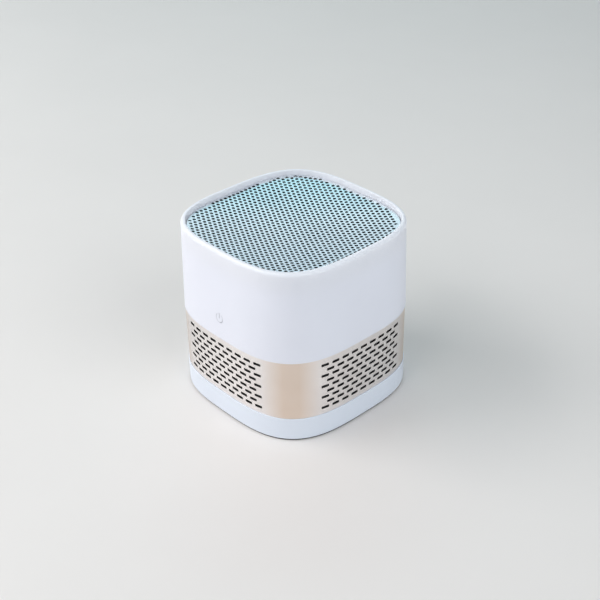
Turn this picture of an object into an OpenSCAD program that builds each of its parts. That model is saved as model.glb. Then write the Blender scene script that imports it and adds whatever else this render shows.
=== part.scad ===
// Desktop air purifier: a palm-sized rounded-square tower with an air intake
// band round its lower half and a dished outlet grille on top.
// Origin: centre of the underside, on the surface it stands on. +Z up, front is -Y.

/* [Body] */
// Half width of the base across the flats
base_half = 45.2; // [44.6:0.1:45.8]
// Half width of the upper shell at its lower lip
shell_half = 45.1; // [44.9:0.1:45.2]
// Half width of the upper shell at its rim
rim_half = 44; // [43.6:0.1:44.4]
// Overall height
total_h = 85.5; // [85:0.1:86]
// Wall thickness of the moulded shells
wall = 2.1; // [1.9:0.1:2.2]

/* [Foot] */
// Height that the rubber foot ring stands out
foot_h = 0.7; // [0.4:0.1:0.8]

/* [Intake band] */
// Height of the top edge of the base shell
band_z0 = 11.9; // [11.8:0.1:12.3]
// Height of the lower lip of the upper shell
band_z1 = 41.6; // [41.5:0.1:42]
// Half width of the metal band
band_half = 44.8; // [44.5:0.1:44.8]
// Sheet thickness of the band
band_t = 0.6; // [0.5:0.1:0.6]
// Length of a slot
slot_l = 3.7; // [2.8:0.1:3.8]
// Height of a slot
slot_h = 1.2; // [0.8:0.1:1.3]
// Pitch of the slots along a row
slot_pitch = 5.6; // [5.2:0.1:5.7]
// Pitch of the rows
slot_row = 2.83; // [2.6:0.01:2.9]
// Slots in a long row; the rows between have one less
slot_n = 9; // [5:2:9]
// Rows of slots
slot_rows = 9; // [5:2:9]

/* [Top grille] */
// Pitch of the holes
hole_pitch = 2.48; // [2.4:0.01:3]
// Diameter of a hole
hole_d = 1.5; // [1.1:0.05:1.5]
// Sheet thickness of the grille
grille_t = 0.6; // [0.6:0.1:0.8]
// Half width of the grille
grille_half = 41.4; // [41.2:0.1:41.4]
// Height of the grille's top face at its centre
grille_z = 79.8; // [79.2:0.1:80]
// Radius of the grille's dish
dish_r = 330; // [320:5:400]

/* [Fan] */
// Side of the fan frame
fan_side = 70; // [69:0.5:70]
// Depth of the fan frame
fan_t = 15; // [14:0.5:15]
// Bore of the fan frame
fan_bore = 66; // [65:0.5:66]
// Spacing of the fan's fixing holes
fan_holes = 60; // [59.5:0.5:60]
// Number of blades
blades = 7; // [5:1:9]

/* [Catalyst cartridge] */
// Half width of the cartridge frame
cart_half = 39.2; // [38.8:0.1:39.4]
// Height of the cartridge's underside
cart_z = 67.6; // [67.6:0.1:67.8]
// Pitch of the honeycomb cells
cell_pitch = 6; // [5:0.5:8]
// Wall between the cells
cell_wall = 0.6; // [0.5:0.1:1]

/* [Hidden] */

// Outline of the body: four side arcs of radius side_r joined by four corner
// arcs of radius corner_r, all tangent; smaller outlines are parallel to it.
side_r = 198;
corner_r = 27.75;
corner_c = 16.6353;
side_c = side_r - 45.2;
corner_a = atan2(corner_c, corner_c + side_c);

// The sector from a corner arc's centre between its two tangent points
module sector2d(l = 70) {
  polygon([[corner_c, corner_c],
    [corner_c + l * cos(corner_a), corner_c + l * sin(corner_a)],
    [corner_c + l * 0.92, corner_c + l * 0.92],
    [corner_c + l * sin(corner_a), corner_c + l * cos(corner_a)]]);
}

// Rounded square of half width a
module outline(a, fs = 720, fc = 180) {
  d = 45.2 - a;
  difference() {
    intersection_for (q = [0:3]) rotate(90 * q) translate([-side_c, 0]) circle(r = side_r - d, $fn = fs);
    for (q = [0:3]) rotate(90 * q) sector2d();
  }
  for (q = [0:3]) rotate(90 * q) intersection() {
    sector2d();
    translate([corner_c, corner_c]) circle(r = corner_r - d, $fn = fc);
  }
}

// Straight-walled block of the outline, from z0 to z1
module block(a, z0, z1) { translate([0, 0, z0]) linear_extrude(z1 - z0) outline(a); }

// Straight-walled ring between two outlines
module ring(ao, ai, z0, z1) {
  translate([0, 0, z0]) linear_extrude(z1 - z0) difference() { outline(ao); outline(ai); }
}

// Block with draft: half width a0 at z0 and a1 at z1
module drafted(a0, a1, z0, z1) {
  h = z1 - z0;
  d0 = 45.2 - a0;
  d1 = 45.2 - a1;
  translate([0, 0, z0]) {
    difference() {
      intersection_for (q = [0:3]) rotate(90 * q) translate([-side_c, 0, 0])
        cylinder(h = h, r1 = side_r - d0, r2 = side_r - d1, $fn = 720);
      for (q = [0:3]) rotate(90 * q) translate([0, 0, -1]) linear_extrude(h + 2) sector2d();
    }
    for (q = [0:3]) rotate(90 * q) intersection() {
      translate([0, 0, -1]) linear_extrude(h + 2) sector2d();
      translate([corner_c, corner_c, 0])
        cylinder(h = h, r1 = corner_r - d0, r2 = corner_r - d1, $fn = 180);
    }
  }
}

// Copies at the four corners of a square of half side p
module corners(p) { for (x = [-p, p]) for (y = [-p, p]) translate([x, y, 0]) children(); }

// Pan-head screw pointing down from its head's seat at z = 0
module screw(r, l, hr, hh) {
  difference() {
    union() {
      translate([0, 0, -l]) cylinder(h = l + 0.01, r = r, $fn = 32);
      cylinder(h = hh, r = hr, $fn = 40);
    }
    // cross recess
    for (q = [0, 90]) rotate(q) translate([-hr * 0.62, -hr * 0.13, hh * 0.4]) cube([hr * 1.24, hr * 0.26, hh]);
  }
}

post = fan_holes / 2;      // pillars, base screws and fan screws share one square
floor_z = 3;               // top of the base floor
deck_z0 = 44;              // underside of the chassis deck
deck_z1 = 46.3;            // top of the chassis deck
fan_z0 = deck_z1 + 0.5;    // underside of the fan frame
fan_z1 = fan_z0 + fan_t;   // top of the fan frame
seat_z0 = fan_z1 + 1.2;    // underside of the cartridge seat's plate
seat_z1 = 64.6;            // top of the cartridge seat's plate
cart_z1 = 77;              // top of the cartridge frame
ledge_z0 = 78.4;           // shell ledge that carries the grille
ledge_z1 = 80.4;
pcb_z = 4.2;               // underside of the main board
pcb_t = 1.6;
pcb_top = pcb_z + pcb_t;
port_z = pcb_top + 1.63;   // centre of the supply inlet
shell_x = 39.8;            // screw bosses of the upper shell
shell_y = 15;
rows_z0 = 15.25;          // centre of the lowest row of slots

// ---------- foot and base ----------

module foot_ring() color([0.05, 0.05, 0.055]) {
  ring(44.6, 40.4, 0, foot_h);
  // rib pressed into the groove of the base
  ring(42.6, 41.2, foot_h, foot_h + 0.8);
}

module base_shell() color([0.86, 0.88, 0.92]) {
  difference() {
    union() {
      // lower edge rounded in two steps of draft
      drafted(base_half - 0.5, base_half - 0.15, foot_h, foot_h + 0.25);
      drafted(base_half - 0.15, base_half, foot_h + 0.25, foot_h + 0.8);
      block(base_half, foot_h + 0.8, band_z0);
    }
    // hollow
    block(base_half - wall - 0.1, floor_z, band_z0 + 1);
    // rebate that the band stands in
    block(band_half + 0.05, 10.8, band_z0 + 1);
    // groove for the foot ring's rib
    translate([0, 0, foot_h - 1]) linear_extrude(1.9) difference() { outline(42.7); outline(41.1); }
    // supply inlet
    translate([0, 50, port_z]) rotate([90, 0, 0]) linear_extrude(10) slot2d(9.5, 3.9);
    // base screw counterbores and clearance holes
    corners(post) {
      translate([0, 0, -1]) cylinder(h = 3.8, r = 3.1, $fn = 48);
      cylinder(h = 6, r = 1.7, $fn = 32);
    }
  }
  // raised seats under the pillars
  corners(post) translate([0, 0, 2.8]) difference() {
    cylinder(h = 2.2, r = 4.6, $fn = 64);
    translate([0, 0, -0.1]) cylinder(h = 2.4, r = 1.7, $fn = 32);
  }
  // board standoffs
  for (p = [[-22, -4], [22, -4], [-22, 33], [22, 33]]) translate([p[0], p[1], floor_z - 0.01]) difference() {
    cylinder(h = pcb_z - floor_z + 0.01, r = 3, $fn = 48);
    translate([0, 0, 0.02]) cylinder(h = 3, r = 0.9, $fn = 24);
  }
}

// Stadium of overall length l and height h
module slot2d(l, h) {
  square([l - h, h], center = true);
  for (x = [-1, 1]) translate([x * (l - h) / 2, 0]) circle(d = h, $fn = 48);
}

// heads up in the counterbores, threads into the pillars
module base_screws() color([0.62, 0.62, 0.64])
  corners(post) translate([0, 0, 2.8]) mirror([0, 0, 1]) screw(1.45, 9, 2.8, 1.5);

// ---------- electronics ----------

module main_pcb() color([0.05, 0.28, 0.16]) translate([0, 0, pcb_z]) linear_extrude(pcb_t) difference() {
  polygon([[-24.5, -8], [24.5, -8], [24.5, 24], [24.5, 36], [20, 40.5], [-20, 40.5], [-24.5, 36]]);
  for (p = [[-22, -4], [22, -4], [-22, 33], [22, 33]]) translate(p) circle(r = 1.15, $fn = 32);
}

module pcb_screws() color([0.7, 0.7, 0.72])
  for (p = [[-22, -4], [22, -4], [-22, 33], [22, 33]]) translate([p[0], p[1], pcb_top]) screw(0.85, 2.6, 1.9, 1.2);

module pcb_chips() color([0.08, 0.08, 0.09]) translate([0, 0, pcb_top]) {
  translate([-4, 8, 0]) cube([7, 7, 1]);       // controller
  translate([-14, 24, 0]) cube([5, 4, 1.5]);   // fan driver
  translate([9, 22, 0]) cube([5, 4, 1.5]);     // lamp driver
  translate([-3, 28, 0]) cube([3, 3, 1]);      // supply protection
  for (i = [0:5]) translate([-12 + 4 * i, 3, 0]) cube([2, 1.2, 0.7]);
}

module capacitors() color([0.25, 0.27, 0.33]) translate([0, 0, pcb_top]) {
  for (p = [[-16, 15], [17, 13]]) translate([p[0], p[1], 0]) {
    cylinder(h = 7.7, r = 3.15, $fn = 48);
  }
}

module power_inductor() color([0.2, 0.2, 0.21]) translate([6, 12, pcb_top]) {
  translate([0, 0, 0]) cube([7, 7, 1]);
  translate([3.5, 3.5, 1]) cylinder(h = 2.2, r = 3.2, $fn = 48);
  translate([0, 0, 3.2]) cube([7, 7, 0.8]);
}

// three board-mounted wire headers: fan, lamps and touch key
module wire_headers() color([0.93, 0.92, 0.86]) translate([0, 0, pcb_top]) {
  translate([-23.6, 15, 0]) cube([4, 9, 4.4]);
  translate([19.6, 15, 0]) cube([4, 9, 4.4]);
  translate([-4.5, -7.4, 0]) cube([9, 4, 4.4]);
}

module usb_socket() color([0.75, 0.75, 0.77])
  translate([0, 44.2, port_z]) rotate([90, 0, 0]) difference() {
    linear_extrude(7.4) slot2d(8.94, 3.26);
    translate([0, 0, -0.1]) linear_extrude(6.3) slot2d(8.34, 2.66);
  }

module usb_tongue() color([0.1, 0.1, 0.1]) translate([-3.35, 38, port_z - 0.35]) cube([6.7, 5.3, 0.7]);

// ---------- intake ----------

// The slots of one pair of opposite faces, as one pattern
module slots2d() {
  for (r = [0:slot_rows - 1]) {
    n = (r % 2 == 0) ? slot_n : slot_n - 1;
    for (i = [0:n - 1]) translate([(i - (n - 1) / 2) * slot_pitch, rows_z0 + r * slot_row]) square([slot_l, slot_h], center = true);
  }
}

module intake_band() color([0.78, 0.70, 0.62]) difference() {
  ring(band_half, band_half - band_t, 10.8, 43.5);
  translate([0, 60, 0]) rotate([90, 0, 0]) linear_extrude(120) slots2d();
  translate([-60, 0, 0]) rotate([90, 0, 90]) linear_extrude(120) slots2d();
}

mesh_out = band_half - band_t - 0.1;
module dust_mesh() color([0.04, 0.04, 0.05]) ring(mesh_out, mesh_out - 0.2, 10.8, 43.4);

module mesh_frame() color([0.09, 0.09, 0.1]) {
  ring(mesh_out - 0.3, mesh_out - 1.4, 10.8, 14.2);
  ring(mesh_out - 0.3, mesh_out - 1.4, 40.6, 42.4);
  // upright ribs in the blank corners of the band
  intersection() {
    ring(mesh_out - 0.3, mesh_out - 1.4, 14.1, 40.7);
    for (q = [0:3]) rotate(45 + 90 * q) translate([0, -4, 14]) cube([80, 8, 27]);
  }
}

// ---------- inner structure ----------

module chassis() color([0.16, 0.16, 0.17]) difference() {
  union() {
    block(42.4, deck_z0, deck_z1);
    corners(post) translate([0, 0, 5]) cylinder(h = deck_z0 - 4.9, r = 4, $fn = 64);
  }
  // air opening under the fan
  translate([0, 0, deck_z0 - 1]) cylinder(h = 5, d = fan_bore, $fn = 128);
  // pilot holes at both ends of the pillars
  corners(post) {
    translate([0, 0, 4.9]) cylinder(h = 9, r = 1.5, $fn = 32);
    translate([0, 0, 35]) cylinder(h = 12, r = 1.5, $fn = 32);
  }
  // clearance holes for the upper shell's screws
  for (x = [-shell_x, shell_x]) for (y = [-shell_y, shell_y]) translate([x, y, deck_z0 - 1]) cylinder(h = 5, r = 1.6, $fn = 32);
  // wire notches
  translate([-40.2, -3, deck_z0 - 1]) cube([4, 6, 5]);
  translate([36.2, -3, deck_z0 - 1]) cube([4, 6, 5]);
  translate([-3, -41, deck_z0 - 1]) cube([6, 4, 5]);
}

module shell_screws() color([0.62, 0.62, 0.64])
  for (x = [-shell_x, shell_x]) for (y = [-shell_y, shell_y]) translate([x, y, deck_z0]) mirror([0, 0, 1]) screw(1.2, 9, 2.2, 1.4);

module upper_shell() color([0.90, 0.91, 0.95]) {
  difference() {
    union() {
      drafted(shell_half, rim_half, band_z1, 83);
      drafted(rim_half, 43.55, 83, 84.7);
      drafted(43.55, 42.6, 84.7, total_h);
    }
    // hollow below the ledge, with the same draft as the outside
    drafted(shell_half - wall, rim_half - wall + 0.1, band_z1 - 0.01, ledge_z0);
    // opening of the ledge
    block(40, ledge_z0 - 1, ledge_z1 + 1);
    // well that the grille drops into
    block(41.8, ledge_z1, total_h - 0.5);
    drafted(41.8, 42.1, total_h - 0.51, total_h + 0.01);
    // rebate over the band
    block(band_half + 0.05, band_z1 - 1, 43.7);
  }
  // screw bosses on the side walls, standing on the deck
  for (x = [-1, 1]) for (y = [-1, 1]) difference() {
    translate([x * shell_x, y * shell_y, deck_z1]) {
      cylinder(h = 10, r = 3.2, $fn = 48);
      translate([x > 0 ? 0 : -3.4, -1.6, 0]) cube([3.4, 3.2, 10]);
    }
    translate([x * shell_x, y * shell_y, deck_z1 - 1]) cylinder(h = 9.5, r = 1.25, $fn = 32);
  }
  // ribs that hold the touch board
  for (x = [-1, 1]) translate([x * 9.1 - 0.6, -43.5, 46.5]) cube([1.2, 2.7, 11]);
}

// ---------- touch key ----------

key_z = 51.6;
module touch_board() color([0.05, 0.28, 0.16]) translate([-8.2, -41.9, key_z - 5]) cube([16.4, 1, 10]);
module touch_pad() color([0.72, 0.45, 0.25]) translate([0, -41.9, key_z]) rotate([90, 0, 0]) cylinder(h = 0.7, r = 3.6, $fn = 48);
module status_led() color([0.95, 0.95, 0.9]) translate([5.2, -42.5, key_z - 0.8]) cube([0.8, 0.6, 1.6]);

// ---------- fan ----------

module fan_pads() color([0.12, 0.12, 0.12])
  corners(post) translate([0, 0, deck_z1]) difference() { cylinder(h = 0.5, r = 3.6, $fn = 48); translate([0, 0, -1]) cylinder(h = 3, r = 1.7, $fn = 32); }

module fan_frame() color([0.1, 0.1, 0.11]) {
  s = fan_side / 2;
  translate([0, 0, fan_z0]) {
    difference() {
      linear_extrude(fan_t) difference() {
      union() {
        square([fan_side, fan_side - 8], center = true);
        square([fan_side - 8, fan_side], center = true);
        for (x = [-1, 1]) for (y = [-1, 1]) translate([x * (s - 4), y * (s - 4)]) circle(r = 4, $fn = 48);
      }
      circle(d = fan_bore, $fn = 180);
      for (x = [-post, post]) for (y = [-post, post]) translate([x, y]) circle(r = 2.15, $fn = 32);
      }
      // lead exit
      translate([-s - 1, -0.55, 1]) cube([4, 1.1, 1.5]);
    }
    // motor base on four arms, with a groove for the lead in the one at -X
    difference() {
      union() {
        cylinder(h = 2, r = 14.5, $fn = 96);
        for (q = [0:3]) rotate(90 * q) translate([10, -1.7, 0]) cube([fan_bore / 2 - 9.4, 3.4, 2]);
      }
      translate([-s - 1, -0.55, 1]) cube([s - 10, 1.1, 2]);
    }
    // bearing tube
    translate([0, 0, 1.9]) difference() {
      cylinder(h = 9.6, r = 3.6, $fn = 64);
      translate([0, 0, 0.2]) cylinder(h = 10, r = 3, $fn = 64);
    }
  }
}

module fan_bearings() color([0.8, 0.8, 0.82]) for (z = [fan_z0 + 2.1, fan_z0 + 8.9]) translate([0, 0, z]) difference() {
  cylinder(h = 2.5, r = 2.98, $fn = 64);
  translate([0, 0, -1]) cylinder(h = 5, r = 1.55, $fn = 64);
}

module fan_board() color([0.05, 0.28, 0.16]) translate([0, 0, fan_z0 + 2.1]) difference() {
  cylinder(h = 0.8, r = 12.4, $fn = 96);
  translate([0, 0, -1]) cylinder(h = 3, r = 3.75, $fn = 64);
}

core_z = fan_z0 + 4.6;
module stator_core() color([0.45, 0.46, 0.48]) translate([0, 0, core_z]) linear_extrude(5) {
  difference() {
    union() {
      circle(r = 6, $fn = 64);
      for (q = [0:3]) rotate(90 * q) translate([4, -1.4]) square([6, 2.8]);
      // pole shoes
      difference() {
        intersection() {
          circle(r = 11.6, $fn = 128);
          for (q = [0:3]) rotate(90 * q) polygon([[0, 0], [14, -9.4], [14, 9.4]]);
        }
        circle(r = 9.6, $fn = 96);
      }
    }
    circle(r = 3.65, $fn = 64);
  }
}

module stator_coils() color([0.72, 0.42, 0.2]) for (q = [0:3]) rotate(90 * q) translate([0, 0, core_z - 0.9]) difference() {
  translate([6.2, -2.6, 0]) cube([2.85, 5.2, 6.8]);
  translate([6, -1.45, 0.85]) cube([4, 2.9, 5.1]);
}

hub_z1 = fan_z0 + 14;
module fan_rotor() color([0.13, 0.13, 0.14]) {
  difference() {
    translate([0, 0, fan_z0 + 2.8]) cylinder(h = hub_z1 - fan_z0 - 2.8, r = 15.4, $fn = 96);
    translate([0, 0, fan_z0 + 2]) cylinder(h = hub_z1 - fan_z0 - 3.3, r = 13.7, $fn = 96);
    translate([0, 0, fan_z0]) cylinder(h = 13.4, r = 1.5, $fn = 48);
  }
  // pitched blades
  for (i = [0:blades - 1]) rotate(360 / blades * i) intersection() {
    translate([0, 0, fan_z0 + 3.4]) difference() {
      cylinder(h = 10, r = 32.1, $fn = 128);
      translate([0, 0, -1]) cylinder(h = 12, r = 15, $fn = 96);
    }
    translate([23.5, 0, fan_z0 + 8.4]) rotate([38, 0, 12]) cube([24, 20, 1.2], center = true);
  }
}

module fan_magnet() color([0.22, 0.22, 0.24]) translate([0, 0, fan_z0 + 3.4]) difference() {
  cylinder(h = 8, r = 13.68, $fn = 96);
  translate([0, 0, -1]) cylinder(h = 10, r = 12.2, $fn = 96);
}

module fan_shaft() color([0.82, 0.82, 0.84]) translate([0, 0, fan_z0 + 2.4]) cylinder(h = 11, r = 1.5, $fn = 48);

// ---------- lamps and cartridge ----------

module cartridge_seat() color([0.9, 0.9, 0.92]) difference() {
  union() {
    block(41.7, seat_z0, seat_z1);
    ring(41.7, 38, seat_z1 - 0.01, cart_z);
    corners(post) translate([0, 0, fan_z1]) cylinder(h = 1.3, r = 4, $fn = 48);
  }
  translate([0, 0, seat_z0 - 1]) cylinder(h = 5, r = 33.3, $fn = 180);
  corners(post) {
    translate([0, 0, fan_z1 - 1]) cylinder(h = 8, r = 1.7, $fn = 32);
    translate([0, 0, seat_z1]) cylinder(h = 5, r = 3.3, $fn = 48);
  }
  // notch for the lamp lead
  translate([37, -1.5, seat_z0 - 1]) cube([6, 3, 8]);
}

module fan_screws() color([0.62, 0.62, 0.64]) corners(post) translate([0, 0, seat_z1]) screw(1.45, 28, 2.8, 1.8);

module uv_board() color([0.88, 0.89, 0.9]) translate([0, 0, seat_z1]) difference() {
  cylinder(h = 1.2, r = 37.3, $fn = 180);
  translate([0, 0, -1]) cylinder(h = 4, r = 33.6, $fn = 180);
}

module uv_leds() color([0.95, 0.9, 0.75]) for (i = [0:11]) rotate(15 + 30 * i) translate([35.4 - 1.4, -1.4, seat_z1 + 1.2]) cube([2.8, 2.8, 1.2]);

module cartridge_frame() color([0.14, 0.14, 0.15]) {
  ring(cart_half, cart_half - 2.2, cart_z, cart_z1);
  ring(cart_half - 2.1, cart_half - 3.9, cart_z, cart_z + 1);
}

module honeycomb() color([0.1, 0.11, 0.12]) {
  a = cart_half - 2.3;
  translate([0, 0, cart_z + 1]) linear_extrude(7.7) difference() {
    outline(a);
    for (i = [-8:8]) for (j = [-9:9]) {
      x = i * cell_pitch * cos(30);
      y = (j + (i % 2 == 0 ? 0 : 0.5)) * cell_pitch;
      if (pow(pow(abs(x), 3.19) + pow(abs(y), 3.19), 1 / 3.19) < a - 3.6)
        translate([x, y]) circle(d = (cell_pitch - cell_wall) / cos(30), $fn = 6);
    }
  }
}

module pull_tab() color([0.2, 0.55, 0.6]) translate([-6, -38.5, cart_z1]) linear_extrude(0.5) {
  translate([0, 0]) square([12, 12]);
  translate([6, 12]) circle(r = 6, $fn = 64);
}

// ---------- grille ----------

function grille_r(x, y) = pow(pow(abs(x), 3.4) + pow(abs(y), 3.4), 1 / 3.4);

// Everything above the dish, raised by lift
module above_dish(lift) translate([0, 0, grille_z + lift]) hull()
  for (r = [0, 9, 18, 27, 36, 45, 54])
    for (i = [0:(r == 0 ? 0 : (r < 15 ? 7 : (r < 30 ? 15 : 23)))]) {
      t = 360 * (i + (r % 2 == 0 ? 0 : 0.5)) / (r < 15 ? 8 : (r < 30 ? 16 : 24));
      translate([r * cos(t), r * sin(t), r * r / (2 * dish_r)]) linear_extrude(20) polygon([[0, 0], [0.001, 0], [0, 0.001]]);
    }

// Support ring, shaped to the plate's underside
module grille_frame() color([0.8, 0.86, 0.88]) difference() {
  ring(41.3, 39.6, ledge_z1, 84);
  above_dish(-grille_t);
}

holes = [for (i = [-21:20]) for (j = [-36:36])
  let (x = (i + 0.5) * hole_pitch * cos(30), y = (j + (i % 2 == 0 ? 0 : 0.5)) * hole_pitch)
  if (grille_r(x, y) < grille_half - 1.2) [x, y]];

// Dished plate with a hexagonal pattern of round holes
module top_grille() color([0.72, 0.82, 0.85]) difference() {
  intersection() {
    translate([0, 0, 70]) linear_extrude(20) difference() {
      outline(grille_half);
      for (p = holes) translate(p) circle(d = hole_d, $fn = 16);
    }
    above_dish(-grille_t);
  }
  above_dish(0);
}

// ---------- internal wiring ----------

// Ring of n points of radius r about p, square to direction d; ref is an axis
// that the route never runs along
function tube_ring(p, d, r, ref, n) = let (w = d / norm(d), c = cross(w, ref), u = c / norm(c), v = cross(w, u))
  [for (i = [0:n - 1]) p + r * (cos(360 * i / n) * u + sin(360 * i / n) * v)];

// Round tube of radius r along the points p
module tube(p, r, ref, n = 8) {
  m = len(p);
  rings = [for (k = [0:m - 1]) tube_ring(p[k],
    k == 0 ? p[1] - p[0] : (k == m - 1 ? p[m - 1] - p[m - 2]
      : (p[k] - p[k - 1]) / norm(p[k] - p[k - 1]) + (p[k + 1] - p[k]) / norm(p[k + 1] - p[k])), r, ref, n)];
  polyhedron(points = [for (q = rings) each q], faces = concat(
    [[for (i = [0:n - 1]) i]],
    [for (k = [0:m - 2]) for (i = [0:n - 1]) [k * n + (i + 1) % n, k * n + i, (k + 1) * n + i, (k + 1) * n + (i + 1) % n]],
    [[for (i = [n - 1:-1:0]) (m - 1) * n + i]]));
}

// Main board to fan, up the left side and along the fan's arm
fan_route = [[-21.6, 19.5, 10.2], [-21.6, 19.5, 11], [-22.2, 19.4, 12.1], [-24, 18.6, 12.8], [-30, 14.5, 13], [-35, 9.5, 14.5], [-37.8, 4, 18],
  [-38.4, 1, 23], [-38.4, 0, 28], [-38.4, 0, 45], [-38.3, 0, 47], [-37.6, 0, 48.1], [-36.4, 0, 48.35], [-11.8, 0, 48.35]];
module fan_lead() color([0.75, 0.1, 0.08]) tube(fan_route, 0.45, [0, 1, 0]);

// Main board to lamp ring, up the right side
lamp_route = [[21.6, 19.5, 10.2], [21.6, 19.5, 11], [22.2, 19.4, 12.1], [24, 18.6, 12.8], [30, 14.5, 13], [35, 9.5, 14.5], [37.8, 4, 18],
  [38.4, 1, 23], [38.4, 0, 28], [38.4, 0, 60], [38.8, 0, 62], [39.6, 0, 63.6], [39.5, 0, 64.8], [38.6, 0, 65.2], [37.35, 0, 65.2]];
module lamp_lead() color([0.9, 0.9, 0.92]) tube(lamp_route, 0.45, [0, 1, 0]);

// Main board to touch key, up the front
touch_route = [[0, -5.4, 10.2], [0, -5.4, 11], [0, -6, 12], [0, -8, 12.6], [0, -33, 12.6], [0, -37, 14], [0, -38.8, 18],
  [0, -39, 23], [0, -39, 45], [0, -39.2, 47.5], [0, -39.8, 49.6], [0, -40.4, 50.6]];
module touch_lead() color([0.15, 0.15, 0.16]) tube(touch_route, 0.45, [1, 0, 0]);

foot_ring();
base_shell();
base_screws();
main_pcb();
pcb_screws();
pcb_chips();
capacitors();
power_inductor();
wire_headers();
usb_socket();
usb_tongue();
intake_band();
dust_mesh();
mesh_frame();
chassis();
shell_screws();
upper_shell();
touch_pad();
touch_board();
status_led();
fan_pads();
fan_frame();
fan_board();
stator_core();
stator_coils();
fan_bearings();
fan_rotor();
fan_magnet();
fan_shaft();
cartridge_seat();
fan_screws();
uv_board();
uv_leds();
cartridge_frame();
honeycomb();
pull_tab();
grille_frame();
top_grille();
fan_lead();
lamp_lead();
touch_lead();
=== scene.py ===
"""Desktop air purifier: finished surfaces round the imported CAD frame, with the camera and studio light."""
import math

import bmesh
import bpy
import numpy as np
from mathutils import Matrix, Vector, geometry


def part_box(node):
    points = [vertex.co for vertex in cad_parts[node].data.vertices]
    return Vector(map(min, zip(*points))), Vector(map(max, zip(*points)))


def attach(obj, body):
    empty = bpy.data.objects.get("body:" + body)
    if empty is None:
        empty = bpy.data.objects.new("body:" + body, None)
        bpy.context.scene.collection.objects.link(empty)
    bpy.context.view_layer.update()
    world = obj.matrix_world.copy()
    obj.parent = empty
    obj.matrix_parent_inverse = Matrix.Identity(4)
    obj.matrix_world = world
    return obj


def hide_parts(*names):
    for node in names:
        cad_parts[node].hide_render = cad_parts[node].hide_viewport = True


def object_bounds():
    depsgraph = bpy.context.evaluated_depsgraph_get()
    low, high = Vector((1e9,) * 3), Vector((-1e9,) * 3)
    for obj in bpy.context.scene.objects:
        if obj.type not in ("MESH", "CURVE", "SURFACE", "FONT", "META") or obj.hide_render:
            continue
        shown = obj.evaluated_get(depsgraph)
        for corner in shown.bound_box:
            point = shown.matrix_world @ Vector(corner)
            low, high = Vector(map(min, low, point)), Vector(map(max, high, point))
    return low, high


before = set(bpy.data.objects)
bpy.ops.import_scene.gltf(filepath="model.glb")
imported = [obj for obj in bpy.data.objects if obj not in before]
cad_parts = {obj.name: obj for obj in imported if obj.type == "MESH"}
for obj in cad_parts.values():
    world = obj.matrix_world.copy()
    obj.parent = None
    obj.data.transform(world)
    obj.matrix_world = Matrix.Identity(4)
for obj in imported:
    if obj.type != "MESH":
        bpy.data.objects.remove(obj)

MM = 0.001
cad_box = [[float(c) for c in v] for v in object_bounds()]
lo_all, hi_all = [Vector(v) for v in cad_box]
HALF = max(hi_all.x, hi_all.y) / MM          # half width of the base, mm
TOP = hi_all.z / MM                          # height of the rim, mm

# --------------------------------------------------------------------------
# Outline of the body
# --------------------------------------------------------------------------
EXP = 3.19                                   # superellipse exponent of the outline
A0 = 45.18                                   # half width that offsets are counted from, mm


def _dense(n=20000):
    t = np.linspace(0, 2 * math.pi, n, endpoint=False)
    c, s = np.cos(t), np.sin(t)
    r = 1.0 / (np.abs(c) ** EXP + np.abs(s) ** EXP) ** (1 / EXP)
    return A0 * np.stack([r * c, r * s], 1)


_D = _dense()
_g = np.roll(_D, -1, 0) - np.roll(_D, 1, 0)
_DN = np.stack([_g[:, 1], -_g[:, 0]], 1)
_DN /= np.linalg.norm(_DN, axis=1)[:, None]


class Outline:
    """The outline of half width a, parallel to the base's, with arc length measured from the middle of the +X face."""

    def __init__(self, a):
        self.p = _D - (A0 - a) * _DN
        seg = np.linalg.norm(np.roll(self.p, -1, 0) - self.p, axis=1)
        self.s = np.concatenate([[0], np.cumsum(seg)])
        self.length = self.s[-1]
        self.pp = np.vstack([self.p, self.p[:1]])
        self.nn = np.vstack([_DN, _DN[:1]])

    def at(self, s):
        s = np.mod(np.asarray(s, float), self.length)
        x = np.interp(s, self.s, self.pp[:, 0])
        y = np.interp(s, self.s, self.pp[:, 1])
        nx = np.interp(s, self.s, self.nn[:, 0])
        ny = np.interp(s, self.s, self.nn[:, 1])
        k = np.hypot(nx, ny)
        return np.stack([x, y], -1), np.stack([nx / k, ny / k], -1)


def se_norm(x, y):
    return (abs(x) ** EXP + abs(y) ** EXP) ** (1 / EXP)


# --------------------------------------------------------------------------
# Mesh helpers
# --------------------------------------------------------------------------
def make_mesh(name, verts, faces, normals=None):
    """verts in mm. normals: one per loop, in the order of faces."""
    me = bpy.data.meshes.new(name)
    me.from_pydata([(v[0] * MM, v[1] * MM, v[2] * MM) for v in verts], [], faces)
    me.validate(clean_customdata=False)
    me.polygons.foreach_set("use_smooth", [True] * len(me.polygons))
    if normals is not None and len(normals) == len(me.loops):
        me.normals_split_custom_set([tuple(float(c) for c in n) for n in normals])
    me.update()
    ob = bpy.data.objects.new(name, me)
    bpy.context.scene.collection.objects.link(ob)
    return ob


def sharp_by_angle(ob, deg=32):
    me = ob.data
    bm = bmesh.new()
    bm.from_mesh(me)
    bm.normal_update()
    for f in bm.faces:
        f.smooth = True
    lim = math.radians(deg)
    for e in bm.edges:
        e.smooth = not (len(e.link_faces) == 2 and e.calc_face_angle(0) > lim)
    bm.to_mesh(me)
    bm.free()
    me.update()


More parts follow.
